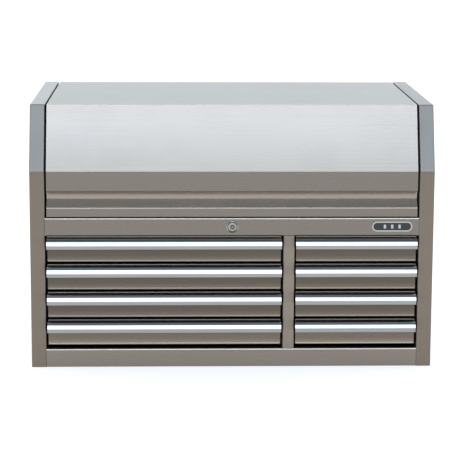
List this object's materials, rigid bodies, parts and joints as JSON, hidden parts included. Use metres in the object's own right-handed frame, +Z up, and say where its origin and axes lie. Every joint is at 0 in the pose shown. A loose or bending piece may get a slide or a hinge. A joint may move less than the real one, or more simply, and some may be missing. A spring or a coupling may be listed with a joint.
{
  "type": "top tool chest",
  "caption": "Stainless steel top tool chest: a lidded upper till with a slanted front over two banks of ball-bearing drawers with full-width pulls, lid gas struts and a turn lock.",
  "frame": {"origin": "middle of the bottom of the overall box, including the pulls", "axes": "+Z up, the drawers face -Y, +X to the right seen from the front"},
  "size_m": [1.0414, 0.632, 0.682],
  "materials": {
    "stainless": "fine horizontal brushed grain",
    "zinc_steel": "bright zinc plate",
    "pull_metal": "satin bright extrusion",
    "chromed": "polished",
    "dark_paint": "semi-gloss black paint",
    "black_plastic": "moulded, fine texture",
    "black_rubber": "matte",
    "brass_pin": "drawn wire"
  },
  "bodies": {
    "case": {"side_panel_left": "stainless", "side_panel_right": "stainless", "inner_wall_left": "stainless", "inner_wall_right": "stainless", "back_panel": "stainless", "base_pan": "stainless", "base_rail": "stainless", "lock_rail": "stainless", "centre_divider": "stainless", "till_floor": "stainless", "slide_outer_members": "zinc_steel", "hinge_case_leaf": "stainless", "hinge_pin": "brass_pin", "strut_case_studs": "chromed", "lock_housing": "chromed", "emblem_plate": "chromed", "lid_bumpers": "black_rubber"},
    "lid": {"lid_shell": "stainless", "lid_stiffeners": "zinc_steel", "lid_striker": "zinc_steel", "hinge_lid_leaf": "stainless", "strut_lid_studs": "chromed"},
    "strut_tube": {"strut_tubes": "dark_paint", "strut_tube_ends": "black_plastic"},
    "strut_rod": {"strut_rods": "chromed", "strut_rod_ends": "black_plastic"},
    "lock": {"lock_plug": "chromed", "lock_cam": "zinc_steel"},
    "drawer_left_1": {"drawer_left_1": "stainless", "pull_left_1": "pull_metal", "slide_inner_left_1": "zinc_steel"},
    "slide_left_1": {"slide_middle_left_1": "zinc_steel"},
    "drawer_left_2": {"drawer_left_2": "stainless", "pull_left_2": "pull_metal", "slide_inner_left_2": "zinc_steel"},
    "slide_left_2": {"slide_middle_left_2": "zinc_steel"},
    "drawer_left_3": {"drawer_left_3": "stainless", "pull_left_3": "pull_metal", "slide_inner_left_3": "zinc_steel"},
    "slide_left_3": {"slide_middle_left_3": "zinc_steel"},
    "drawer_left_4": {"drawer_left_4": "stainless", "pull_left_4": "pull_metal", "slide_inner_left_4": "zinc_steel"},
    "slide_left_4": {"slide_middle_left_4": "zinc_steel"},
    "drawer_right_1": {"drawer_right_1": "stainless", "pull_right_1": "pull_metal", "slide_inner_right_1": "zinc_steel"},
    "slide_right_1": {"slide_middle_right_1": "zinc_steel"},
    "drawer_right_2": {"drawer_right_2": "stainless", "pull_right_2": "pull_metal", "slide_inner_right_2": "zinc_steel"},
    "slide_right_2": {"slide_middle_right_2": "zinc_steel"},
    "drawer_right_3": {"drawer_right_3": "stainless", "pull_right_3": "pull_metal", "slide_inner_right_3": "zinc_steel"},
    "slide_right_3": {"slide_middle_right_3": "zinc_steel"},
    "drawer_right_4": {"drawer_right_4": "stainless", "pull_right_4": "pull_metal", "slide_inner_right_4": "zinc_steel"},
    "slide_right_4": {"slide_middle_right_4": "zinc_steel"}
  },
  "joints": [
    {"name": "lid_hinge", "type": "hinge", "parent": "case", "child": "lid", "pos_m": [0, 0.3104, 0.652], "axis": [-1, 0, 0], "range_deg": [0, 80]},
    {"name": "strut_tube_pivot", "type": "hinge", "parent": "case", "child": "strut_tube", "pos_m": [0, 0.2191, 0.40781], "axis": [-1, 0, 0], "range_deg": [0, 40]},
    {"name": "strut_rod_pivot", "type": "hinge", "parent": "lid", "child": "strut_rod", "pos_m": [0, 0.04997, 0.66383], "axis": [-1, 0, 0], "range_deg": [-40, 0]},
    {"name": "lock_turn", "type": "hinge", "parent": "case", "child": "lock", "pos_m": [0, -0.294, 0.372], "axis": [0, 1, 0], "range_deg": [0, 90]},
    {"name": "drawer_left_1_slide", "type": "slide", "parent": "case", "child": "drawer_left_1", "axis": [0, -1, 0], "range_m": [0, 0.45]},
    {"name": "slide_left_1_middle", "type": "slide", "parent": "case", "child": "slide_left_1", "axis": [0, -1, 0], "range_m": [0, 0.225]},
    {"name": "drawer_left_2_slide", "type": "slide", "parent": "case", "child": "drawer_left_2", "axis": [0, -1, 0], "range_m": [0, 0.45]},
    {"name": "slide_left_2_middle", "type": "slide", "parent": "case", "child": "slide_left_2", "axis": [0, -1, 0], "range_m": [0, 0.225]},
    {"name": "drawer_left_3_slide", "type": "slide", "parent": "case", "child": "drawer_left_3", "axis": [0, -1, 0], "range_m": [0, 0.45]},
    {"name": "slide_left_3_middle", "type": "slide", "parent": "case", "child": "slide_left_3", "axis": [0, -1, 0], "range_m": [0, 0.225]},
    {"name": "drawer_left_4_slide", "type": "slide", "parent": "case", "child": "drawer_left_4", "axis": [0, -1, 0], "range_m": [0, 0.45]},
    {"name": "slide_left_4_middle", "type": "slide", "parent": "case", "child": "slide_left_4", "axis": [0, -1, 0], "range_m": [0, 0.225]},
    {"name": "drawer_right_1_slide", "type": "slide", "parent": "case", "child": "drawer_right_1", "axis": [0, -1, 0], "range_m": [0, 0.45]},
    {"name": "slide_right_1_middle", "type": "slide", "parent": "case", "child": "slide_right_1", "axis": [0, -1, 0], "range_m": [0, 0.225]},
    {"name": "drawer_right_2_slide", "type": "slide", "parent": "case", "child": "drawer_right_2", "axis": [0, -1, 0], "range_m": [0, 0.45]},
    {"name": "slide_right_2_middle", "type": "slide", "parent": "case", "child": "slide_right_2", "axis": [0, -1, 0], "range_m": [0, 0.225]},
    {"name": "drawer_right_3_slide", "type": "slide", "parent": "case", "child": "drawer_right_3", "axis": [0, -1, 0], "range_m": [0, 0.45]},
    {"name": "slide_right_3_middle", "type": "slide", "parent": "case", "child": "slide_right_3", "axis": [0, -1, 0], "range_m": [0, 0.225]},
    {"name": "drawer_right_4_slide", "type": "slide", "parent": "case", "child": "drawer_right_4", "axis": [0, -1, 0], "range_m": [0, 0.45]},
    {"name": "slide_right_4_middle", "type": "slide", "parent": "case", "child": "slide_right_4", "axis": [0, -1, 0], "range_m": [0, 0.225]}
  ],
  "couplings": [
    {"joint": "strut_tube_pivot", "follows": "lid_hinge", "ratio": 0.5},
    {"joint": "strut_rod_pivot", "follows": "lid_hinge", "ratio": -0.5},
    {"joint": "slide_left_1_middle", "follows": "drawer_left_1_slide", "ratio": 0.5},
    {"joint": "slide_left_2_middle", "follows": "drawer_left_2_slide", "ratio": 0.5},
    {"joint": "slide_left_3_middle", "follows": "drawer_left_3_slide", "ratio": 0.5},
    {"joint": "slide_left_4_middle", "follows": "drawer_left_4_slide", "ratio": 0.5},
    {"joint": "slide_right_1_middle", "follows": "drawer_right_1_slide", "ratio": 0.5},
    {"joint": "slide_right_2_middle", "follows": "drawer_right_2_slide", "ratio": 0.5},
    {"joint": "slide_right_3_middle", "follows": "drawer_right_3_slide", "ratio": 0.5},
    {"joint": "slide_right_4_middle", "follows": "drawer_right_4_slide", "ratio": 0.5}
  ]
}
